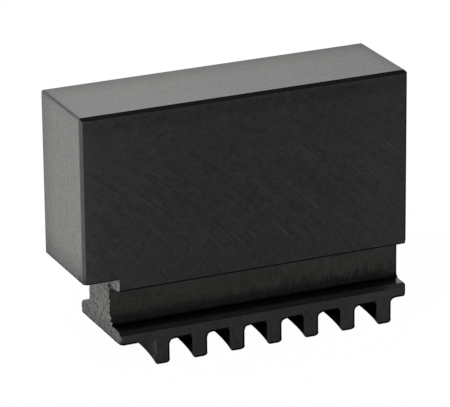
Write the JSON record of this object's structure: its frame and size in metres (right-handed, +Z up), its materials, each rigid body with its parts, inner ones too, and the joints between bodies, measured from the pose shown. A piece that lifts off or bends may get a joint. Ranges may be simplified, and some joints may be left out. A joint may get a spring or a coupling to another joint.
{
  "type": "machinable soft jaw",
  "caption": "Unstepped soft block jaw of bare steel for a scroll chuck, with guide grooves along its sides, an overhanging nose and curved scroll teeth below.",
  "frame": {"origin": "middle of the jaw's length and width, on the plane of the tooth tips", "axes": "+X along the jaw, outward from the chuck's middle, with the gripping nose at -X; +Y across the jaw, away from the face the picture shows; +Z up to the top face"},
  "size_m": [0.0684, 0.02, 0.052],
  "materials": {
    "steel": "bare mild steel, ground on top, face-milled on the sides, sawn at the foot's inner end"
  },
  "bodies": {
    "root": {"soft_jaw": "steel"}
  },
  "joints": []
}
